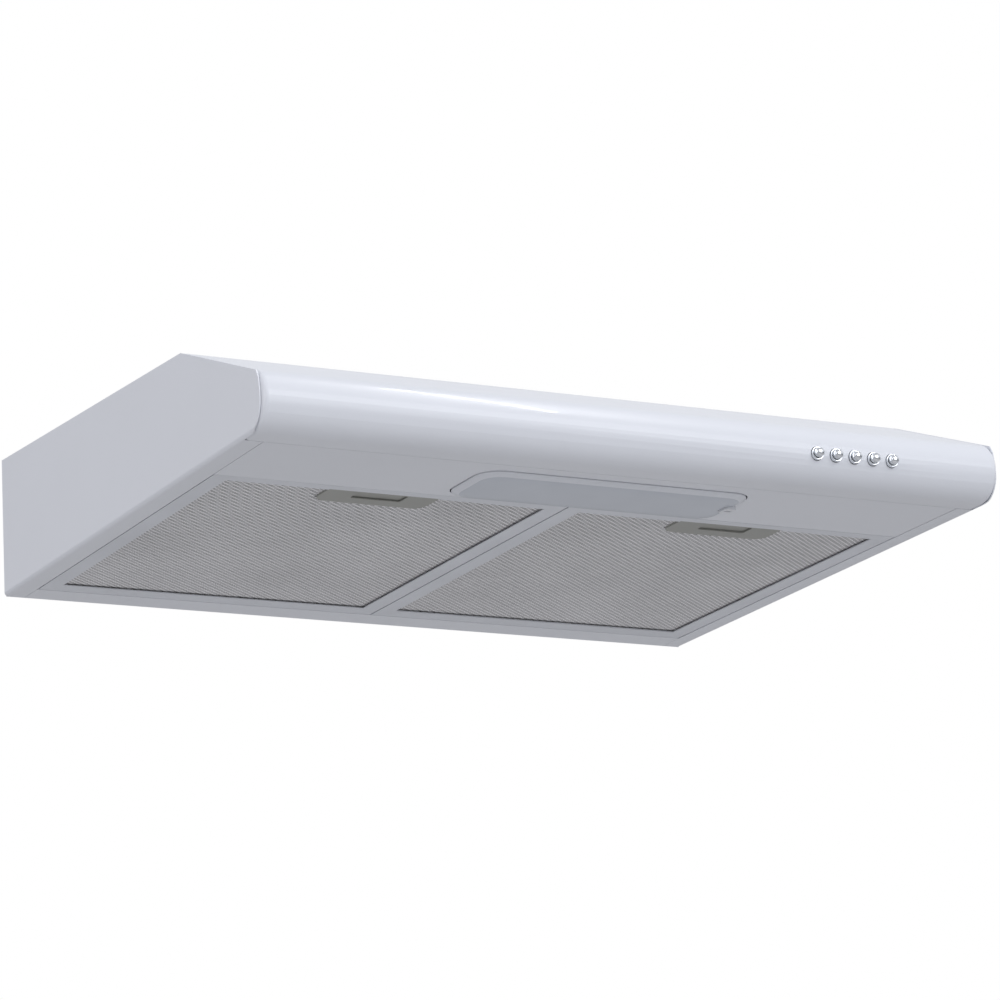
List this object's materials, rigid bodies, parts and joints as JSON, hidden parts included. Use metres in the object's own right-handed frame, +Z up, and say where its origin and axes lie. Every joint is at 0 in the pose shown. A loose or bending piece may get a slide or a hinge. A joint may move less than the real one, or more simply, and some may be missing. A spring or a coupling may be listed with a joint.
{
  "type": "under cabinet range hood",
  "caption": "Slim white under cabinet range hood with rounded push button fascia, lamp cover, two mesh grease filters, radial fan and round duct outlet.",
  "frame": {"origin": "on the flat rear face, halfway across the hood and halfway up its height", "axes": "+X to the right seen from the front, +Y into the wall behind, +Z up"},
  "size_m": [0.6, 0.4822, 0.141],
  "materials": {
    "white_paint": "gloss",
    "white_plastic": "satin",
    "grey_plastic": "satin",
    "black_plastic": "satin",
    "black_rubber": "matte",
    "chrome": "polished",
    "zinc_steel": "satin",
    "aluminium": "satin",
    "lamp_glass": "clear",
    "lamp_lens": "frosted"
  },
  "bodies": {
    "housing": {"bulb_base": "zinc_steel", "bulb_glass": "lamp_glass", "button_guide_strip": "chrome", "cable_gland": "black_rubber", "capacitor": "white_plastic", "fan_screw_1": "zinc_steel", "fan_screw_2": "zinc_steel", "fan_screw_3": "zinc_steel", "fan_screw_4": "zinc_steel", "flap_pin": "zinc_steel", "front_fascia": "white_paint", "inlet_guard": "black_plastic", "lamp_holder": "white_plastic", "lamp_panel": "white_paint", "lamp_tray": "zinc_steel", "left_side_panel": "white_paint", "motor_can": "zinc_steel", "outlet_spigot": "black_plastic", "right_side_panel": "white_paint", "scroll_housing": "white_plastic", "spigot_screw_1": "zinc_steel", "spigot_screw_2": "zinc_steel", "spigot_screw_3": "zinc_steel", "spigot_screw_4": "zinc_steel", "switch_block": "black_plastic", "terminal_box": "black_plastic", "terminal_box_cover": "black_plastic", "terminal_strip": "white_plastic", "top_back_shell": "white_paint"},
    "filter_left": {"filter_left_frame": "aluminium", "filter_left_mesh": "aluminium", "filter_left_latch_plate": "grey_plastic"},
    "latch_left": {"filter_left_latch_slider": "grey_plastic"},
    "flap_left": {"flap_left": "black_plastic"},
    "filter_right": {"filter_right_frame": "aluminium", "filter_right_mesh": "aluminium", "filter_right_latch_plate": "grey_plastic"},
    "latch_right": {"filter_right_latch_slider": "grey_plastic"},
    "flap_right": {"flap_right": "black_plastic"},
    "lamp_cover": {"lamp_cover": "lamp_lens", "lamp_cover_catch": "white_plastic"},
    "button_1": {"button_1": "chrome"},
    "button_2": {"button_2": "chrome"},
    "button_3": {"button_3": "chrome"},
    "button_4": {"button_4": "chrome"},
    "button_5": {"button_5": "chrome"},
    "impeller": {"impeller": "black_plastic", "motor_shaft": "zinc_steel", "impeller_nut": "zinc_steel"}
  },
  "joints": [
    {"name": "filter_left_swing", "type": "hinge", "parent": "housing", "child": "filter_left", "pos_m": [-0.142, -0.0271, -0.0543], "axis": [1, 0, 0], "range_deg": [0, 70]},
    {"name": "latch_left_slide", "type": "slide", "parent": "filter_left", "child": "latch_left", "axis": [0, 1, 0], "range_m": [0, 0.006], "stiffness_N_per_m": 300},
    {"name": "filter_right_swing", "type": "hinge", "parent": "housing", "child": "filter_right", "pos_m": [0.142, -0.0271, -0.0543], "axis": [1, 0, 0], "range_deg": [0, 70]},
    {"name": "latch_right_slide", "type": "slide", "parent": "filter_right", "child": "latch_right", "axis": [0, 1, 0], "range_m": [0, 0.006], "stiffness_N_per_m": 300},
    {"name": "lamp_cover_swing", "type": "hinge", "parent": "housing", "child": "lamp_cover", "pos_m": [-0.102, -0.393, -0.0539], "axis": [0, 1, 0], "range_deg": [0, 50]},
    {"name": "button_1_press", "type": "slide", "parent": "housing", "child": "button_1", "axis": [0, 1, 0], "range_m": [0, 0.003], "stiffness_N_per_m": 400},
    {"name": "button_2_press", "type": "slide", "parent": "housing", "child": "button_2", "axis": [0, 1, 0], "range_m": [0, 0.003], "stiffness_N_per_m": 400},
    {"name": "button_3_press", "type": "slide", "parent": "housing", "child": "button_3", "axis": [0, 1, 0], "range_m": [0, 0.003], "stiffness_N_per_m": 400},
    {"name": "button_4_press", "type": "slide", "parent": "housing", "child": "button_4", "axis": [0, 1, 0], "range_m": [0, 0.003], "stiffness_N_per_m": 400},
    {"name": "button_5_press", "type": "slide", "parent": "housing", "child": "button_5", "axis": [0, 1, 0], "range_m": [0, 0.003], "stiffness_N_per_m": 400},
    {"name": "impeller_spin", "type": "hinge", "parent": "housing", "child": "impeller", "pos_m": [0.15, -0.2, -0.0044], "axis": [0, 0, 1], "continuous": true},
    {"name": "flap_left_swing", "type": "hinge", "parent": "housing", "child": "flap_left", "pos_m": [0, -0.11545, 0.0576], "axis": [0, 0.9987, 0.0503], "range_deg": [0, 75]},
    {"name": "flap_right_swing", "type": "hinge", "parent": "housing", "child": "flap_right", "pos_m": [0, -0.11545, 0.0576], "axis": [0, -0.9987, -0.0503], "range_deg": [0, 75]}
  ]
}
